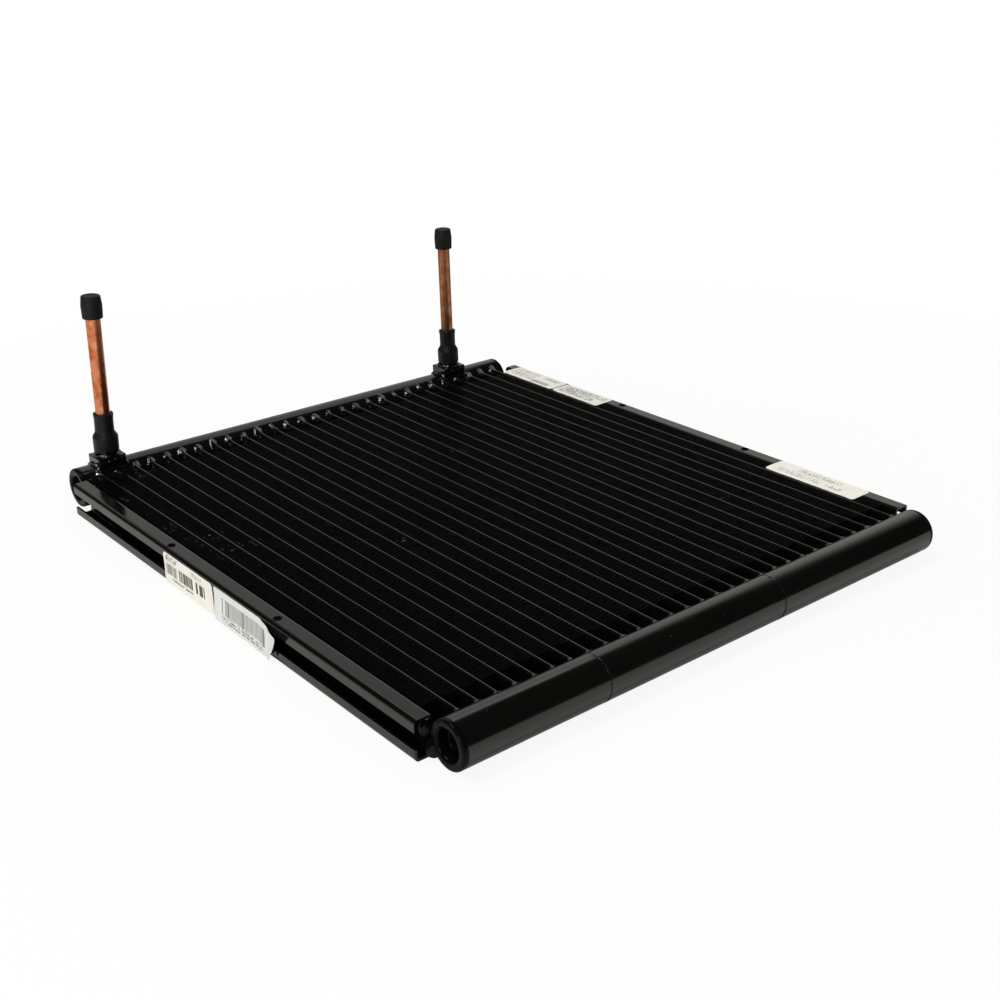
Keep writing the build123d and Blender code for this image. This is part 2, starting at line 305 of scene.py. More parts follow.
def mattePolymer(name, look):
    """Moulded or shrunk black polymer: soft, dull, with a fine grain and a greyish bloom where it was rubbed."""
    material, tree, shader, place = newMaterial(name)
    bloom = addNode(tree, "ShaderNodeTexNoise", {"Vector": place, "Scale": perMetre(look["bloomSize"]), "Detail": 4.0})
    grain = addNode(tree, "ShaderNodeTexNoise", {"Vector": place, "Scale": perMetre(look["grain"]), "Detail": 2.0})
    base = mixColour(tree, spread(tree, bloom.outputs["Fac"], 0.35, 0.75, 0.0, 1.0),
                     linear(look["base"]), linear(look["bloom"]))
    tree.links.new(base, shader.inputs["Base Color"])
    tree.links.new(spread(tree, bloom.outputs["Fac"], 0.3, 0.7, *look["roughness"]), shader.inputs["Roughness"])
    shader.inputs["IOR"].default_value = 1.36
    bump = addNode(tree, "ShaderNodeBump",
                   {"Height": grain.outputs["Fac"], "Distance": look["grainDepth"] * mm, "Strength": 1.0})
    tree.links.new(bump.outputs[0], shader.inputs["Normal"])
    return material


polymers = {
    "shrunkPolyolefin": {"base": "#0b0b0b", "bloom": "#131312", "bloomSize": 5.0, "grain": 0.5, "grainDepth": 0.02,
                         "roughness": (0.42, 0.55)},
    "mouldedRubber": {"base": "#090909", "bloom": "#121211", "bloomSize": 4.0, "grain": 0.35, "grainDepth": 0.02,
                      "roughness": (0.5, 0.66)},
}
polymer = {key: mattePolymer(key, look) for key, look in polymers.items()}


def labelPaper(name, look):
    """Coated label paper: flat white with a slight sheen, faint fibre clouding, and grey print made only of bars,
    rows of dashes and blocks. Each field is (u from, u to, v from, v to, kind, module) in mm on the label."""
    material, tree, shader, place = newMaterial(name)
    xyz = addNode(tree, "ShaderNodeSeparateXYZ", {0: place})
    u = mathNode(tree, "MULTIPLY", mathNode(tree, "SUBTRACT", look["start"] * mm, xyz.outputs["Y"]), 1000.0)
    v = mathNode(tree, "MULTIPLY", mathNode(tree, "SUBTRACT", xyz.outputs[look["across"]], look["side"] * mm), 1000.0)
    fibre = addNode(tree, "ShaderNodeTexNoise", {"Vector": place, "Scale": perMetre(7.0), "Detail": 5.0})
    colour = mixColour(tree, spread(tree, fibre.outputs["Fac"], 0.35, 0.7, 0.0, 1.0),
                       linear(look["paper"]), linear(look["aged"]))
    for uFrom, uTo, vFrom, vTo, kind, module, ink in look["fields"]:
        inside = mathNode(tree, "MULTIPLY",
                          mathNode(tree, "COMPARE", u, (uFrom + uTo) / 2, (uTo - uFrom) / 2),
                          mathNode(tree, "COMPARE", v, (vFrom + vTo) / 2, (vTo - vFrom) / 2))
        if kind != "block":
            column = mathNode(tree, "FLOOR", mathNode(tree, "DIVIDE", u, module))
            row = mathNode(tree, "FLOOR", mathNode(tree, "DIVIDE", v, module * 2.4)) if kind == "rows" else 0.0
            cell = addNode(tree, "ShaderNodeCombineXYZ", {0: column, 1: row, 2: uFrom + vFrom}).outputs[0]
            chance = addNode(tree, "ShaderNodeTexWhiteNoise", {"Vector": cell}).outputs["Value"]
            inside = mathNode(tree, "MULTIPLY", inside,
                              mathNode(tree, "GREATER_THAN", chance, 0.5 if kind == "bars" else 0.4))
            if kind == "rows":
                line = mathNode(tree, "FRACT", mathNode(tree, "DIVIDE", v, module * 2.4))
                inside = mathNode(tree, "MULTIPLY", inside, mathNode(tree, "LESS_THAN", line, 0.62))
        colour = mixColour(tree, inside, colour, linear(ink))
    tree.links.new(colour, shader.inputs["Base Color"])
    shader.inputs["Roughness"].default_value = look["roughness"]
    bump = addNode(tree, "ShaderNodeBump",
                   {"Height": fibre.outputs["Fac"], "Distance": 0.03 * mm, "Strength": 1.0})
    tree.links.new(bump.outputs[0], shader.inputs["Normal"])
    return material


labels = {
    "side_label_rear": {
        "plane": "side", "start": 51.5, "length": 49.0, "side": 0.8, "width": 16.2, "across": "Z", "corner": 2.2,
        "paper": "#f0ece4", "aged": "#e8e3da", "roughness": 0.5,
        "fields": [(2.0, 13, 5.0, 10.6, "block", 1, "#c4c1ba"), (2.0, 13, 5.0, 10.6, "bars", 0.8, "#94928c"),
                   (15, 29, 5.0, 11.0, "block", 1, "#b5b2ab"), (15, 29, 5.0, 11.0, "bars", 0.7, "#45433f"),
                   (32, 41, 5.0, 11.0, "bars", 0.85, "#3d3b38"), (2.5, 14, 12.2, 15.2, "rows", 0.6, "#33312e"),
                   (29, 38.5, 12.6, 14.9, "rows", 0.5, "#6f6d69"), (8, 29, 2.1, 4.2, "rows", 0.55, "#45433f")]},
    "side_label_front": {
        "plane": "curl", "start": 1.5, "length": 51.7, "side": 0.6, "width": 15.4, "across": "Z", "corner": 0.6,
        "paper": "#dcddda", "aged": "#d2d3cf", "roughness": 0.3,
        "fields": [(8, 12, 5.0, 13.0, "bars", 0.8, "#6b6b68"), (12, 47, 5.0, 13.0, "block", 1, "#b2b1ad"),
                   (13, 46, 5.0, 13.0, "bars", 0.9, "#a3a29e"), (13.4, 14.4, 4.8, 13.0, "block", 1, "#55544f"),
                   (27.0, 28.0, 4.8, 13.0, "block", 1, "#605f5b"), (46, 48, 4.0, 13.0, "block", 1, "#6a6966"),
                   (8, 46, 1.6, 4.6, "rows", 0.6, "#666561")]},
    "top_label_rear": {
        "plane": "top", "start": 150.25, "length": 47.5, "side": 141.5, "width": 15.0, "across": "X", "corner": 2.0,
        "paper": "#e4e2d9", "aged": "#dad8ce", "roughness": 0.5,
        "fields": [(3, 24, 2.5, 8.5, "rows", 0.6, "#94938e"), (25, 41, 1.6, 5.0, "block", 1, "#a29f9b"),
                   (30, 44, 9.5, 12.5, "rows", 0.7, "#7b7975"), (3, 24, 10.0, 13.2, "rows", 0.6, "#a3a19c")]},
    "top_label_middle": {
        "plane": "top", "start": 101.75, "length": 41.5, "side": 141.5, "width": 15.0, "across": "X", "corner": 2.0,
        "paper": "#e2e0d8", "aged": "#d8d6cd", "roughness": 0.5,
        "fields": [(2.5, 27, 2.4, 13.0, "block", 1, "#d2d0c8"), (2.5, 27, 2.4, 13.0, "rows", 0.6, "#74736f"), (27.5, 33, 2.4, 6.8, "rows", 0.5, "#55544f"),
                   (28, 39, 8.5, 12.8, "rows", 0.7, "#6d6b67")]},
    "top_label_front": {
        "plane": "top", "start": -75.75, "length": 59.5, "side": 141.5, "width": 15.0, "across": "X", "corner": 2.0,
        "paper": "#efece1", "aged": "#e6e3d7", "roughness": 0.5,
        "fields": [(5, 34, 2.5, 7.5, "rows", 0.6, "#b2b1aa"), (16, 44, 9.0, 13.2, "rows", 0.6, "#9d9c96"),
                   (38, 48, 3.0, 6.2, "rows", 0.7, "#8d8c86")]},
}
paper = {key: labelPaper("labelPaper_" + key, look) for key, look in labels.items()}
print("materials made:", len(bpy.data.materials))


# ---- carried-over solids that only need a finish

finishes = {
    "front_header": "header", "rear_header": "header", "front_baffles": "header", "rear_baffles": "header",
    "left_side_channel": "channel", "right_side_channel": "channel",
    "left_fitting_block": "fitting", "right_fitting_block": "fitting",
    "left_spigot": "fitting", "right_spigot": "fitting",
}
for nodeName, key in finishes.items():
    nodes[nodeName].data.materials.clear()
    nodes[nodeName].data.materials.append(coat[key])
for side in ("left", "right"):
    node = nodes[side + "_copper_stub"]
    node.data.materials.clear()
    node.data.materials.append(copper[side])


# ---- folded fins, at the real strip's pitch

fins = {
    "walls": 248, "length": 298.0, "height": 8.2, "depth": 15.4, "gauge": 0.12, "crest": 0.28, "crestDrop": 0.16,
    "topBand": 1.3, "stripsPerPack": 5, "sway": 0.05,
    # places where the top edges were knocked: x, y, radius and how far they lean
    "knocks": [(-124.4, 143.1, 3.0, 0.45), (-147.0, 67.5, 3.5, 0.6), (-141.6, 72.0, 3.0, 0.5), (-141.9, 47.2, 3.0, 0.5),
               (-133.9, 45.8, 3.5, 0.55), (-146.1, 119.8, 3.0, 0.4), (-131.4, 28.2, 2.5, 0.4), (-141.5, 26.2, 3.5, 0.5),
               (-121.8, 25.2, 2.5, 0.4), (-64.0, -20.0, 3.0, 0.35), (32.0, 60.0, 3.0, 0.35), (92.0, -88.0, 3.5, 0.4)],
}


def foldedStrip(xMid, seed):
    """One louvred fin strip as a folded foil ribbon: rounded crests, nearly upright walls, uneven top edges."""
    local = np.random.default_rng(seed)
    folds = fins["walls"] + 1
    step = fins["length"] / fins["walls"]
    y = -fins["length"] / 2 + np.arange(folds) * step
    y[1:-1] += local.uniform(-1, 1, folds - 2) * fins["sway"]
    side = np.where(np.arange(folds) % 2 == 0, -1.0, 1.0)
    top = fins["height"] / 2 - fins["gauge"] / 2
    px = np.stack([side * (top - fins["crestDrop"]), side * top, side * (top - fins["crestDrop"])], axis=1).ravel()
    py = np.stack([y - fins["crest"], y, y + fins["crest"]], axis=1).ravel()
    px, py = px[1:-1], py[1:-1]
    tangent = np.stack([np.gradient(px), np.gradient(py)], axis=1)
    tangent /= np.linalg.norm(tangent, axis=1)[:, None]
    normal = np.stack([-tangent[:, 1], tangent[:, 0]], axis=1)
    count = len(px)
    levels = [-fins["depth"] / 2, fins["depth"] / 2 - fins["topBand"], fins["depth"] / 2]
    leans = [local.normal(0, 0.02, count), np.zeros(count), local.normal(0, 0.03, count)]
    drop = np.abs(local.normal(0, 0.02, count))
    for kx, ky, reach, lean in fins["knocks"]:
        near = np.exp(-(((xMid + px - kx) ** 2 + (py - ky) ** 2) / reach ** 2))
        leans[2] = leans[2] + near * lean * (0.6 + 0.8 * local.uniform(-1, 1, count))
        drop = drop + near * 0.25
    rows = []
    for half in (1.0, -1.0):
        for level, (z, lean) in enumerate(zip(levels, leans)):
            x = xMid + px + half * normal[:, 0] * fins["gauge"] / 2
            yy = py + half * normal[:, 1] * fins["gauge"] / 2 + lean
            zz = np.full(count, core["axisZ"] + z) - (drop if level == 2 else 0)
            rows.append(np.stack([x, yy, zz], axis=1))
    points = np.concatenate(rows)
    i = np.arange(count - 1)

    def quads(a, b, c, d):
        return np.stack([a, b, c, d], axis=1)

    n = count
    faces = [quads(i, i + 1, n + i + 1, n + i), quads(n + i, n + i + 1, 2 * n + i + 1, 2 * n + i),
             quads(3 * n + i + 1, 3 * n + i, 4 * n + i, 4 * n + i + 1),
             quads(4 * n + i + 1, 4 * n + i, 5 * n + i, 5 * n + i + 1),
             quads(i + 1, i, 3 * n + i, 3 * n + i + 1), quads(2 * n + i, 2 * n + i + 1, 5 * n + i + 1, 5 * n + i)]
    e = n - 1
    ends = [(0, n, 4 * n, 3 * n), (n, 2 * n, 5 * n, 4 * n),
            (n + e, e, 3 * n + e, 4 * n + e), (2 * n + e, n + e, 4 * n + e, 5 * n + e)]
    return points, [tuple(f) for f in np.concatenate(faces).tolist()] + ends


firstTube = -(core["tubeCount"] - 1) * core["tubePitch"] / 2
stripPlaces = [firstTube + (k - 0.5) * core["tubePitch"] for k in range(core["tubeCount"] + 1)]
for pack in range(6):
    places = stripPlaces[pack * fins["stripsPerPack"]:(pack + 1) * fins["stripsPerPack"]]
    shape = gather([foldedStrip(x, 100 + pack * 10 + k) for k, x in enumerate(places)])
    addPiece(f"fin_strips_{pack + 1}", *shape, coat["fin"], "coated_fin", (f"fin_pack_{pack + 1}",), flat=True)

scuffsAndGlints = {"perKnock": 6, "length": (0.4, 1.5), "width": 0.2, "thickness": 0.12, "turn": 0.8, "tip": 0.4}


def bentEdge(local, kx, ky, reach):
    """A short piece of a fin's top edge, folded over. Its pale grey is partly the split coating and partly a painted
    highlight for the glint that a bent edge catches.
    """
    length = local.uniform(*scuffsAndGlints["length"]) / 2
    half, thick = scuffsAndGlints["width"] / 2, scuffsAndGlints["thickness"] / 2
    x = local.normal(kx, reach * 0.75)
    tube = firstTube + round((x - firstTube) / core["tubePitch"]) * core["tubePitch"]
    x += math.copysign(max(0.0, 2.2 + length * 0.6 - abs(x - tube)), x - tube)  # clear of the tube's edge
    y = local.normal(ky, reach)
    corners = [(sx * length, sy * half, sz * thick + sx * local.uniform(-0.1, 0.12))
               for sz in (-1, 1) for sy in (-1, 1) for sx in (-1, 1)]
    seat = Matrix.Translation((x, y, core["axisZ"] + fins["depth"] / 2 - 0.02)) \
        @ Matrix.Rotation(local.normal(0, scuffsAndGlints["turn"]), 4, "Z") @ Matrix.Rotation(local.normal(0, scuffsAndGlints["tip"]), 4, "X")
    faces = [(0, 2, 3, 1), (4, 5, 7, 6), (0, 1, 5, 4), (2, 6, 7, 3), (0, 4, 6, 2), (1, 3, 7, 5)]
    return moved((corners, faces), seat)
local = np.random.default_rng(7)
# grey tabs at the knocks: split coating with a painted highlight on it
edges = [bentEdge(local, kx, ky, reach) for kx, ky, reach, lean in fins["knocks"] for _ in range(scuffsAndGlints["perKnock"])]
addPiece("fin_scuffsAndGlints", *gather(edges), coat["scuffAndGlint"], "coated_fin", (), flat=True)
print("fins folded:", len(stripPlaces), "strips")


# ---- flat tubes with their round edges

tubes = {"edgeSteps": 8, "stations": 62, "sway": 0.07, "lift": 0.05, "nose": 1.45}


def tubeOutline(grow=0.0, steps=None):
    """(x, z) points round a tube's section, from its middle."""
    steps = steps or tubes["edgeSteps"]
    radius = core["tubeThickness"] / 2 + grow
    nose = tubes["nose"]
    flat = core["tubeWidth"] / 2 - nose
    angles = np.linspace(0, math.pi, steps + 1)
    top = np.stack([radius * np.cos(angles), flat + (nose + grow) * np.sin(angles)], axis=1)
    bottom = np.stack([-radius * np.cos(angles), -flat - (nose + grow) * np.sin(angles)], axis=1)
    return np.concatenate([top, bottom])


outline = tubeOutline()
for index in range(core["tubeCount"]):
    x = firstTube + index * core["tubePitch"]
    count = tubes["stations"]
    ys = np.linspace(-core["tubeLength"] / 2, core["tubeLength"] / 2, count)
    ease = np.clip((core["tubeLength"] / 2 - np.abs(ys)) / 20, 0, 1)  # true at the header slots
    sway = smoothNoise(count, 5, 300 + index) * tubes["sway"] * ease
    lift = smoothNoise(count, 4, 400 + index) * tubes["lift"] * ease
    rings = [np.stack([x + outline[:, 0] + s, np.full(len(outline), y), core["axisZ"] + outline[:, 1] + h], axis=1)
             for y, s, h in zip(ys, sway, lift)]
    points = np.concatenate(rings)
    faces = bandFaces(count, len(outline), False)
    faces.append(tuple(range(len(outline))))
    faces.append(tuple(reversed(range(len(points) - len(outline), len(points)))))
    addPiece(f"tube_{index + 1:02d}", points, faces, coat["tube"], "coated_tube", (f"flat_tube_{index + 1:02d}",), 50)
print("tubes drawn:", core["tubeCount"])


# ---- braze at the tube ends

braze = {
    "around": 9, "sink": 0.25,
    "front": {"tubeLeg": 1.8, "headerLeg": 1.2, "swell": 0.2, "lump": 0.35, "lip": 0.0},
    "rear": {"tubeLeg": 5.0, "headerLeg": 1.7, "swell": 0.42, "lump": 0.55, "lip": 0.0},
}


def headerY(z):
    """How far from the header's axis its surface is, at a height."""
    return math.sqrt(max(core["headerRadius"] ** 2 - (z - core["axisZ"]) ** 2, 1.0))


def lumpyBead(path, radius, seed, turns=8):
    """A closed bead of braze along a closed path of points."""
    path = np.asarray(path, float)
    ahead = np.roll(path, -1, axis=0) - np.roll(path, 1, axis=0)
    ahead /= np.linalg.norm(ahead, axis=1)[:, None]
    sideways = np.cross(ahead, np.array([0.05, 0.1, 1.0]))
    sideways /= np.linalg.norm(sideways, axis=1)[:, None]
    over = np.cross(sideways, ahead)
    count = len(path)
    size = radius * (1 + 0.28 * smoothNoise(count, 3, seed, closed=True) + 0.12 * smoothNoise(count, 1.5, seed + 1, closed=True))
    rings = []
    for k in range(turns):
        angle = 2 * math.pi * k / turns
        rings.append(path + (sideways * math.cos(angle) + over * math.sin(angle)) * size[:, None])
    return np.concatenate(rings), bandFaces(turns, count, True)


def brazeFillet(x, side, look, seed):
    """The wet, lumpy fillet where one tube enters its slot, and, when the look gives a lip, a bead of the slot's lip
    round it.
    """
    inner = tubeOutline(0.0, braze["around"])
    count = len(inner)
    out = inner.copy()
    flat = core["tubeWidth"] / 2 - core["tubeThickness"] / 2
    out[:, 1] -= np.clip(inner[:, 1], -flat, flat)
    out /= np.linalg.norm(out, axis=1)[:, None]
    lump = 1 + look["lump"] * smoothNoise(count, 2.5, seed, closed=True)

    def onHeader(grow, back, uneven):
        xz = inner + out * (grow * uneven)[:, None]
        z = core["axisZ"] + xz[:, 1]
        surface = np.array([headerY(v) for v in z])
        return np.stack([x + xz[:, 0], side * (core["headerY"] - surface - back * uneven), z], axis=1)

    even = np.ones(count)
    leg, foot, swell = look["tubeLeg"], look["headerLeg"], look["swell"]
    rings = [onHeader(-braze["sink"], leg * 0.6, even), onHeader(0.02, leg, lump), onHeader(0.3 * swell + 0.08, leg * 0.62, lump),
             onHeader(0.18 + swell, leg * 0.3, lump), onHeader(0.5 * foot + 0.3 * swell, leg * 0.12, lump),
             onHeader(foot, 0.02, lump), onHeader(foot * 0.8, -0.5, even)]
    faces = bandFaces(len(rings), count, True)
    if side > 0:
        faces = [tuple(reversed(f)) for f in faces]
    shapes = [(np.concatenate(rings), faces)]
    if look["lip"]:
        shapes.append(lumpyBead(onHeader(foot + 0.5, 0.0, even), look["lip"], seed + 7, 6))
    return gather(shapes)


for side, sideName in ((-1, "front"), (1, "rear")):
    fillets = [brazeFillet(firstTube + k * core["tubePitch"], side, braze[sideName], 500 + 40 * side + k)
               for k in range(core["tubeCount"])]
    addPiece(f"{sideName}_header_braze", *gather(fillets), coat["braze"], "coated_header", (), 60)
print("tube ends brazed")


# ---- header end plugs

plug = {"flange": 2.5, "depth": 6.0, "floor": 2.5, "recess": 6.7, "edge": 2.3, "mouth": 1.7, "body": 9.45, "groove": 0.22}


def plugShape():
    radius, top = core["headerRadius"], plug["flange"]
    bottom = top + plug["depth"] - plug["floor"]
    profile = rounded([
        (0, top - bottom, 0), (plug["recess"], top - bottom, 0.8), (plug["recess"], top, plug["mouth"]),
        (radius, top, plug["edge"]), (radius, 0.25, 0.12), (radius - plug["groove"], 0.1, 0.08),
        (radius - plug["groove"], 0.0, 0), (plug["body"], 0.0, 0), (plug["body"], -plug["depth"], 0.3),
        (0, -plug["depth"], 0)], 7)
    return turned(profile, 72, closed=False)


for side, sideName in ((-1, "front"), (1, "rear")):
    for end, endName in ((-1, "left"), (1, "right")):
        x = core["headerLeft"] if end < 0 else core["headerRight"]
        seat = Matrix.Translation((x, side * core["headerY"], core["axisZ"])) @ Matrix.Rotation(end * math.pi / 2, 4, "Y")
        addPiece(f"{sideName}_{endName}_plug", *moved(plugShape(), seat), coat["plug"], "coated_plug",
                 (f"{sideName}_header_plug_{endName}",), 40)
print("headers plugged")


# ---- stubs: sleeves, caps and the braze under them

stubs = {
    "left": {"x": -132.0, "lean": 1.6, "copper": 7.94},
    "right": {"x": 109.9, "lean": -1.0, "copper": 7.45},
}
stub = {"blockTop": 26.6, "spigotWall": 1.7, "gap": 0.05, "blockLength": 16.5, "blockWidth": 14.0,
        # runs of braze on the block's front face: x from its middle, z, half length, half height
        "drop": (-148.4, 156.4, 19.0),
        "beads": [(-5.6, 24.1, 1.3, 0.6), (-1.6, 24.4, 1.5, 0.7), (2.2, 24.7, 1.7, 0.8), (6.0, 25.2, 1.8, 0.7)]}
sleeve = {"wall": 1.2, "foot": 2.4, "length": 21.6, "neck": 10.5, "shoulder": 2.9, "flare": 0.4, "wobble": 0.07}
cap = {"wall": 1.6, "floor": 1.6, "length": 12.5, "rise": 89.0, "crown": 1.5, "barrel": 0.25, "dish": 0.35}


def lump(centre, sizes, seed):
    """An uneven rounded blob."""
    points, faces = turned([(0, -1)] + [(math.sin(a), -math.cos(a)) for a in np.linspace(0.25, math.pi - 0.25, 10)] + [(0, 1)],
                           20, closed=False)
    local = np.random.default_rng(seed)
    waves = local.uniform(1.5, 3.5, (4, 3))
    phase = local.uniform(0, 6.28, 4)
    swell = 1 + 0.07 * sum(np.sin(points @ w + p) for w, p in zip(waves, phase))
    return points * swell[:, None] * np.array(sizes) + np.array(centre), faces


def stubSeat(side):
    base = Matrix.Translation((stubs[side]["x"], core["headerY"], stub["blockTop"]))
    return base @ Matrix.Rotation(math.radians(stubs[side]["lean"]), 4, "Y")


def shrunkWobble(seed):
    local = np.random.default_rng(seed)
    phase = local.uniform(0, 6.28, 4)

    def wobble(r, z, angles):
        swell = np.sin(2 * angles + phase[0] + z * 0.2) + 0.6 * np.sin(3 * angles + phase[1] - z * 0.35)
        edge = np.clip(1 - (z - sleeve["foot"]) / 3, 0, 1) + np.clip((z - 21) / 3, 0, 1)
        return (r + sleeve["wobble"] * swell * np.where(r > 5.2, 1, 0.2),
                z + 0.18 * edge * np.sin(3 * angles + phase[2]))
    return wobble


for side, seed in (("left", 41), ("right", 42)):
    copperRadius = stubs[side]["copper"] / 2
    narrow = copperRadius + stub["gap"]
    wide = narrow + stub["spigotWall"] + stub["gap"]
    wall, foot = sleeve["wall"], sleeve["foot"]
    mouth = foot + sleeve["length"]
    neckFoot = mouth - sleeve["neck"]
    wideTop = neckFoot - sleeve["shoulder"]
    profile = rounded([
        (wide, foot, 0.2), (wide + wall, foot, 0.45), (wide + wall, wideTop, 2.6), (narrow + wall, neckFoot, 3.2),
        (narrow + wall, mouth - 3.5, 3.0), (narrow + wall + sleeve["flare"], mouth, 0.35), (narrow, mouth - 0.3, 0.25),
        (narrow, neckFoot + 0.3, 0.6), (wide, wideTop + 1.4, 0.6)], 6)
    addPiece(side + "_sleeve", *moved(turned(profile, 64, wobble=shrunkWobble(seed)), stubSeat(side)),
             polymer["shrunkPolyolefin"], "shrink_sleeve", (side + "_shrink_sleeve",), 60)

    top = cap["rise"] + cap["floor"]
    base = top - cap["length"]
    outer = narrow + cap["wall"]
    profile = rounded([
        (0, top - cap["dish"], 0), (outer - 3.0, top - cap["dish"] + 0.05, 1.5), (outer - 2.0, top, 0.8),
        (outer - 0.45, top, cap["crown"]), (outer + cap["barrel"] - 0.1, top - 5.5, 9.0), (outer - 0.05, base + 2.0, 3.0),
        (outer - 0.12, base, 0.35), (narrow, base, 0.3), (narrow, cap["rise"], 0.3), (0, cap["rise"], 0)], 6)
    addPiece(side + "_cap", *moved(turned(profile, 64, closed=False), stubSeat(side)),
             polymer["mouldedRubber"], "cap_rubber", (side + "_stub_cap",), 60)


def roundedLoop(length, width, corner, count):
    """(x, y) points evenly round a rectangle with rounded corners."""
    made = []
    for sx, sy, start in ((1, 1, 0), (-1, 1, 90), (-1, -1, 180), (1, -1, 270)):
        for a in np.linspace(start, start + 90, 5):
            made.append((sx * (length / 2 - corner) + corner * math.cos(math.radians(a)),
                         sy * (width / 2 - corner) + corner * math.sin(math.radians(a))))
    made = np.array(made + [made[0]])
    along = np.concatenate([[0], np.cumsum(np.linalg.norm(np.diff(made, axis=0), axis=1))])
    at = np.linspace(0, along[-1], count, endpoint=False)
    return np.stack([np.interp(at, along, made[:, 0]), np.interp(at, along, made[:, 1])], axis=1)


for side, seed in (("left", 61), ("right", 62)):
    radius = stubs[side]["copper"] / 2 + stub["gap"] + stub["spigotWall"] + 0.5
    angles = np.linspace(0, 2 * math.pi, 56, endpoint=False)
    ring = np.stack([stubs[side]["x"] + radius * np.cos(angles), core["headerY"] + radius * np.sin(angles),
                     np.full(56, stub["blockTop"] + 0.35)], axis=1)
    shapes = [lumpyBead(ring, 1.15, seed, 12)]
    loop = roundedLoop(stub["blockLength"] + 0.2, stub["blockWidth"] + 0.2, 0.9, 90)
    z = core["axisZ"] + np.sqrt(core["headerRadius"] ** 2 - np.clip(loop[:, 1], -7.2, 7.2) ** 2)
    seam = np.stack([stubs[side]["x"] + loop[:, 0], core["headerY"] + loop[:, 1], z + 0.3], axis=1)
    shapes.append(lumpyBead(seam, 1.15, seed + 5, 12))
    if side == "left":  # the drop in the corner of header and channel
        shapes.append(lump(stub["drop"], (0.9, 0.9, 0.8), 99))
    for k, (dx, z, sx, sz) in enumerate(stub["beads"]):
        shapes.append(lump((stubs[side]["x"] + dx, core["headerY"] - stub["blockWidth"] / 2, z), (sx, 0.75, sz), seed + 20 + k))
    addPiece(side + "_block_braze", *gather(shapes), coat["braze"], "coated_header", (), 60)
print("stubs dressed")


# ---- drips of coating: rims of the holes, which also paint a wider shade round them, lumps that tie the channels' ends to the headers

drips = {"holeX": 154.5, "holeY": 50.0, "holeRadius": 1.6, "rim": 0.36,
         # x from the channel's outer face inward, y past the channel's end, z, and the three half sizes
         "lumps": [(7.6, 2.0, 4.4, 3.2, 3.4, 3.8), (6.2, -1.4, 12.5, 2.6, 2.8, 3.6)],
         "seamX": (-75.0, 35.0), "seamRadius": 0.13}


for side, sideName in ((-1, "left"), (1, "right")):
    shapes = []
    for y in (-drips["holeY"], drips["holeY"]):
        angles = np.linspace(0, 2 * math.pi, 32, endpoint=False)
        radius = drips["holeRadius"] + 0.3
        ring = np.stack([side * drips["holeX"] + radius * np.cos(angles), y + radius * np.sin(angles),
                         np.full(32, core["coreTop"] - 0.02)], axis=1)
        shapes.append(lumpyBead(ring, drips["rim"], 80 + int(y), 8))
    # the rims take the darkest, dullest coat: painted shade that widens the dark of each hole
    addPiece(sideName + "_hole_rims_with_painted_shade", *gather(shapes), coat["fin"], "coated_channel", (), 60)
    shapes = []
    for k, (inward, past, z, sx, sy, sz) in enumerate(drips["lumps"]):
        inward = inward + (2.4 if side > 0 else 0.0)  # the right channel stands farther past its header
        shapes.append(lump((side * (core["channelFace"] - inward), -157.0 - past, z), (sx, sy, sz), 90 + k))
    addPiece(sideName + "_channel_drips", *gather(shapes), coat["fin"], "coated_channel", (), 60)

seams = []
for k, x in enumerate(drips["seamX"]):  # the thin raised line where a baffle closes its slit
    angles = np.linspace(0, 2 * math.pi, 80, endpoint=False)
    ring = np.stack([np.full(80, x + 0.5), core["headerRadius"] * np.cos(angles) - core["headerY"],
                     np.maximum(core["headerRadius"] * np.sin(angles) + core["axisZ"], 1.5 * drips["seamRadius"])], axis=1)
    seams.append(lumpyBead(ring, drips["seamRadius"], 120 + k, 6))
addPiece("front_baffle_seams", *gather(seams), coat["header"], "coated_header", (), 60)
print("drips added")


# ---- labels

def roundedGrid(length, width, corner, nu, nv):
    """Even grid over a sheet, with its corner squares pulled in to quarter discs."""
    u, v = np.meshgrid(np.linspace(0, length, nu + 1), np.linspace(0, width, nv + 1), indexing="ij")
    for uEdge, uSign in ((0, -1), (length, 1)):
        for vEdge, vSign in ((0, -1), (width, 1)):
            cu, cv = uEdge - uSign * corner, vEdge - vSign * corner
            a, b = (u - cu) * uSign / corner, (v - cv) * vSign / corner
            inside = (a > 0) & (b > 0)
            na, nb = a * np.sqrt(1 - np.clip(b, 0, 1) ** 2 / 2), b * np.sqrt(1 - np.clip(a, 0, 1) ** 2 / 2)
            u = np.where(inside, cu + uSign * corner * na, u)
            v = np.where(inside, cv + vSign * corner * nb, v)
    return u, v


sheet = {
    "thickness": 0.16, "stepMm": 0.8, "lift": 0.05,
    # the front side label's upper and lower edges, as share along it, y, and how far they stand off the channel
    "upper": [(0.0, 0.6, 0.0), (0.68, -41.0, 0.0), (0.76, -46.3, 0.9), (0.85, -51.9, 2.3), (0.93, -56.6, 3.5), (1.0, -61.2, 4.8)],
    "lower": [(0.0, 2.0, 0.4), (0.06, -1.5, 1.2), (0.7, -36.5, 1.2), (0.8, -41.0, 1.4), (1.0, -49.8, 2.0)],
}


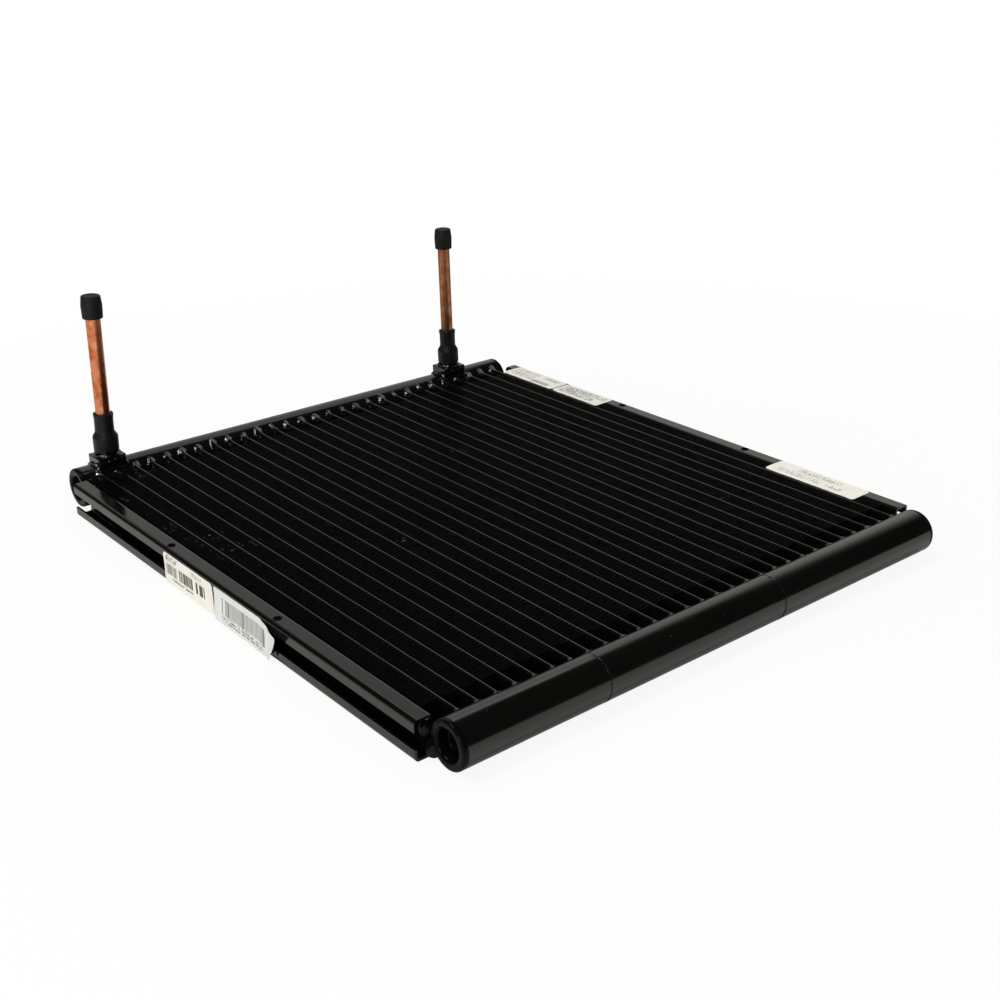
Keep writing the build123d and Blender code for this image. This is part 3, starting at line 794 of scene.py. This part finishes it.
def labelShape(key):
    look = labels[key]
    nu, nv = int(look["length"] / sheet["stepMm"]), int(look["width"] / sheet["stepMm"])
    u, v = roundedGrid(look["length"], look["width"], look["corner"], nu, nv)
    seed = sum(map(ord, key))
    wave = (smoothNoise(nu + 1, 9, seed)[:, None] * 0.6 + smoothNoise(nv + 1, 5, seed + 1)[None, :] * 0.4)
    rub = smoothNoise(nu + 1, 3, seed + 2)
    if look["plane"] == "top":
        sag = 0.22 * np.clip((core["webFace"] - look["side"] - v) / 7.6, 0, 1) ** 2  # it dips over the fins
        z = core["coreTop"] + 0.03 + sheet["lift"] * (1 + wave) - sag * (0.6 + 0.4 * rub[:, None])
        low = np.stack([look["side"] + v, look["start"] - u, z], axis=-1)
        up = np.array([0, 0, 1.0])
        lift = np.broadcast_to(up, low.shape)
    else:
        z = look["side"] + v
        slot = np.clip(np.minimum(z - 5.0, 14.0 - z) / 2.5, 0, 1)  # it spans the slot between the lips
        sink = 0.16 * slot * (0.75 + 0.25 * rub[:, None])
        off = 0.05 + sheet["lift"] * (1 + wave)
        if look["plane"] == "side":
            y = look["start"] - u
            off = off + 0.2 * np.clip((3.5 - v) / 3.5, 0, 1) ** 2 * (0.5 + 0.5 * rub[:, None]) - sink
        else:
            share, rise = u / look["length"], v / look["width"]
            edges = {}
            for key in ("upper", "lower"):
                at, ys, offs = np.array(sheet[key]).T
                edges[key] = np.interp(share, at, ys), np.interp(share, at, offs)
            y = edges["lower"][0] * (1 - rise) + edges["upper"][0] * rise
            stand = edges["lower"][1] * (1 - rise) ** 2 + edges["upper"][1] * rise
            free = np.clip((share - 0.68) / 0.32, 0, 1)
            off = off + stand - sink * (1 - free) + free * (0.35 * np.sin(share * 34 + rise * 2.5) + 0.15 * (1 - rise) * np.sin(share * 71 - rise * 6))
            z = z + (1 - free) * rise  # held up to the channel's bend
            ragged = np.clip((share - 0.66) / 0.1, 0, 1) * np.clip(1 - v / 3.0, 0, 1)
            z = z + ragged * 2.2 * smoothNoise(nu + 1, 1.6, 77)[:, None]
            z = z + np.clip(1 - share / 0.06, 0, 1) * np.clip(1 - v / 3.0, 0, 1) * 1.6  # the cut lower corner
        low = np.stack([-core["channelFace"] - off, y, np.maximum(z, 0.3 + 0.1 * rise if look["plane"] == "curl" else 0.3)], axis=-1)
        lift = np.broadcast_to(np.array([-1.0, 0, 0]), low.shape)
    high = low + lift * sheet["thickness"]
    rows, cols = nu + 1, nv + 1
    points = np.concatenate([low.reshape(-1, 3), high.reshape(-1, 3)])
    half = rows * cols
    faces = []
    for i in range(nu):
        for j in range(nv):
            a = i * cols + j
            quad = (a, a + cols, a + cols + 1, a + 1)
            faces.append(quad)
            faces.append(tuple(half + k for k in reversed(quad)))
    rim = [i * cols for i in range(rows)] + [(rows - 1) * cols + j for j in range(1, cols)]
    rim += [i * cols + cols - 1 for i in range(rows - 2, -1, -1)] + [j for j in range(cols - 2, 0, -1)]
    for a, b in zip(rim, rim[1:] + rim[:1]):
        faces.append((b, a, half + a, half + b))
    if look["plane"] == "top":
        faces = [tuple(reversed(f)) for f in faces]
    return points, faces


for key in labels:
    addPiece(key + "_sheet", *labelShape(key), paper[key], "label_paper", (key,), 50)
print("labels laid:", len(labels))


# ---- floor, light and camera

stageLook = {"floor": "#e6e5de", "size": 7.0, "innerFade": 0.24, "outerFade": 0.6, "showNear": 0.9,
             "glossInner": 0.6, "glossOuter": 1.6, "behindDark": 0.85}


def studioFloor():
    """A pale floor that shows as white to the camera and to gloss, and keeps a faint soft shadow near the part. Behind
    the part it is darkened for gloss only, a painted shade that the metal reflects.
    """
    material, tree, shader, place = newMaterial("studioFloor")
    shader.inputs["Base Color"].default_value = linear(stageLook["floor"])
    shader.inputs["Roughness"].default_value = 0.9
    far = addNode(tree, "ShaderNodeVectorMath", {0: place}, operation="LENGTH").outputs["Value"]
    rays = addNode(tree, "ShaderNodeLightPath")
    direct = mathNode(tree, "MAXIMUM", rays.outputs["Is Camera Ray"], rays.outputs["Is Transmission Ray"])
    whiteShare = mathNode(tree, "MULTIPLY", direct,
                          spread(tree, far, stageLook["innerFade"], stageLook["outerFade"], stageLook["showNear"], 1.0))
    glossShare = mathNode(tree, "MULTIPLY", rays.outputs["Is Glossy Ray"],
                          spread(tree, far, stageLook["glossInner"], stageLook["glossOuter"], 0.0, 1.0))
    # painted shade: behind the part the floor turns dark to gloss rays only
    behind = addNode(tree, "ShaderNodeVectorMath", {0: place, 1: (0.633, 0.774, 0.0)}, operation="DOT_PRODUCT").outputs["Value"]
    dim = mathNode(tree, "MULTIPLY", rays.outputs["Is Glossy Ray"],
                   spread(tree, behind, 0.2, 0.4, 0.0, stageLook["behindDark"]))
    glow = addNode(tree, "ShaderNodeEmission", {"Color": (1, 1, 1, 1), "Strength": 1.0})
    lit = addNode(tree, "ShaderNodeMixShader",
                  {0: mathNode(tree, "MAXIMUM", whiteShare, glossShare), 1: shader.outputs[0], 2: glow.outputs[0]})
    black = addNode(tree, "ShaderNodeEmission", {"Color": (0, 0, 0, 1), "Strength": 0.0})
    both = addNode(tree, "ShaderNodeMixShader", {0: dim, 1: lit.outputs[0], 2: black.outputs[0]})
    output = next(n for n in tree.nodes if n.type == "OUTPUT_MATERIAL")
    tree.links.new(both.outputs[0], output.inputs["Surface"])
    size = stageLook["size"]
    mesh = bpy.data.meshes.new("floor")
    ring = [(size * math.cos(a), size * math.sin(a), 0.0) for a in np.linspace(0, 2 * math.pi, 64, endpoint=False)]
    mesh.from_pydata(ring, [], [tuple(range(64))])
    mesh.materials.append(material)
    floor = bpy.data.objects.new("floor", mesh)
    bpy.context.scene.collection.objects.link(floor)
    return floor


studioFloor()

room = {"dark": 0.02, "low": 0.72, "high": 0.52, "fill": 0.6, "tint": (1.0, 0.995, 0.94, 1.0)}


def studioWorld():
    """White to the camera. To gloss it is a pale sweep behind the part and a dark room on the camera's side."""
    world = bpy.data.worlds.new("studio")
    bpy.context.scene.world = world
    world.use_nodes = True
    tree = world.node_tree
    tree.nodes.clear()
    direction = addNode(tree, "ShaderNodeTexCoord").outputs["Generated"]
    away = addNode(tree, "ShaderNodeVectorMath", {0: direction, 1: (0.633, 0.774, 0.0)}, operation="DOT_PRODUCT")
    parts = addNode(tree, "ShaderNodeSeparateXYZ", {0: direction}).outputs
    height = parts["Z"]
    behind = spread(tree, away.outputs["Value"], 0.45, 0.82, 0.0, 1.0)
    sweep = spread(tree, height, 0.3, 0.62, room["low"], room["high"])
    edge = spread(tree, height, 0.62, 0.72, 1.0, 0.0)  # the sweep ends and the dark room starts
    foot = mathNode(tree, "MULTIPLY", spread(tree, height, 0.1, 0.5, 0.5, 1.0), spread(tree, parts["X"], 0.45, 0.75, 1.0, 1.45))
    share = mathNode(tree, "MULTIPLY", mathNode(tree, "MULTIPLY", behind, foot), mathNode(tree, "MULTIPLY", sweep, edge))
    level = mathNode(tree, "ADD", share, room["dark"])
    rays = addNode(tree, "ShaderNodeLightPath")
    gloss = addNode(tree, "ShaderNodeBackground", {"Color": room["tint"], "Strength": level})
    fill = addNode(tree, "ShaderNodeBackground", {"Color": (1, 1, 1, 1), "Strength": room["fill"]})
    white = addNode(tree, "ShaderNodeBackground", {"Color": (1, 1, 1, 1), "Strength": 1.0})
    lit = addNode(tree, "ShaderNodeMixShader", {0: rays.outputs["Is Diffuse Ray"], 1: gloss.outputs[0], 2: fill.outputs[0]})
    seen = mathNode(tree, "MAXIMUM", rays.outputs["Is Camera Ray"], rays.outputs["Is Transmission Ray"])
    shown = addNode(tree, "ShaderNodeMixShader", {0: seen, 1: lit.outputs[0], 2: white.outputs[0]})
    addNode(tree, "ShaderNodeOutputWorld", {"Surface": shown.outputs[0]})


studioWorld()

lamps = {
    "overhead": {"at": (-0.55, 0.25, 1.5), "aim": (0, 0, 0.02), "size": (0.42, 0.42), "watts": 11.0},
    "key": {"at": (-1.25, -0.75, 0.62), "aim": (0, 0, 0.03), "size": (0.3, 0.34), "watts": 6.0},
    "panel": {"at": (0.53, 0.78, 1.0), "aim": (0.53, 0.78, 0.0), "size": (0.72, 0.52), "watts": 0.9, "turn": -25.0},
}
for name, look in lamps.items():
    light = bpy.data.lights.new(name, "AREA")
    light.shape = "RECTANGLE"
    light.size, light.size_y = look["size"]
    light.energy = look["watts"]
    lamp = bpy.data.objects.new(name, light)
    bpy.context.scene.collection.objects.link(lamp)
    lamp.location = look["at"]
    track = (Vector(look["aim"]) - Vector(look["at"])).to_track_quat("-Z", "Y")
    lamp.rotation_euler = (track @ Quaternion((0, 0, 1), math.radians(look.get("turn", 0.0)))).to_euler()

shot = {"azimuth": -129.229, "elevation": 23.491, "roll": -0.836, "lens": 49.83, "at": (-419.65, -531.49, 309.46)}


def photoCamera():
    """The place and turn that the photograph was taken from."""
    az, el, roll = (math.radians(shot[k]) for k in ("azimuth", "elevation", "roll"))
    back = Vector((math.cos(el) * math.cos(az), math.cos(el) * math.sin(az), math.sin(el)))
    right = Vector((-math.sin(az), math.cos(az), 0))
    up = back.cross(right)
    c, s = math.cos(roll), math.sin(roll)
    axes = Matrix((c * right + s * up, c * up - s * right, back)).transposed()
    data = bpy.data.cameras.new("photoCamera")
    data.sensor_width, data.lens = 36.0, shot["lens"]
    camera = bpy.data.objects.new("photoCamera", data)
    bpy.context.scene.collection.objects.link(camera)
    camera.matrix_world = Matrix.Translation(Vector(shot["at"]) * mm) @ axes.to_4x4()
    bpy.context.scene.camera = camera


photoCamera()
bpy.context.scene.view_settings.view_transform = "Standard"
print("stage set")
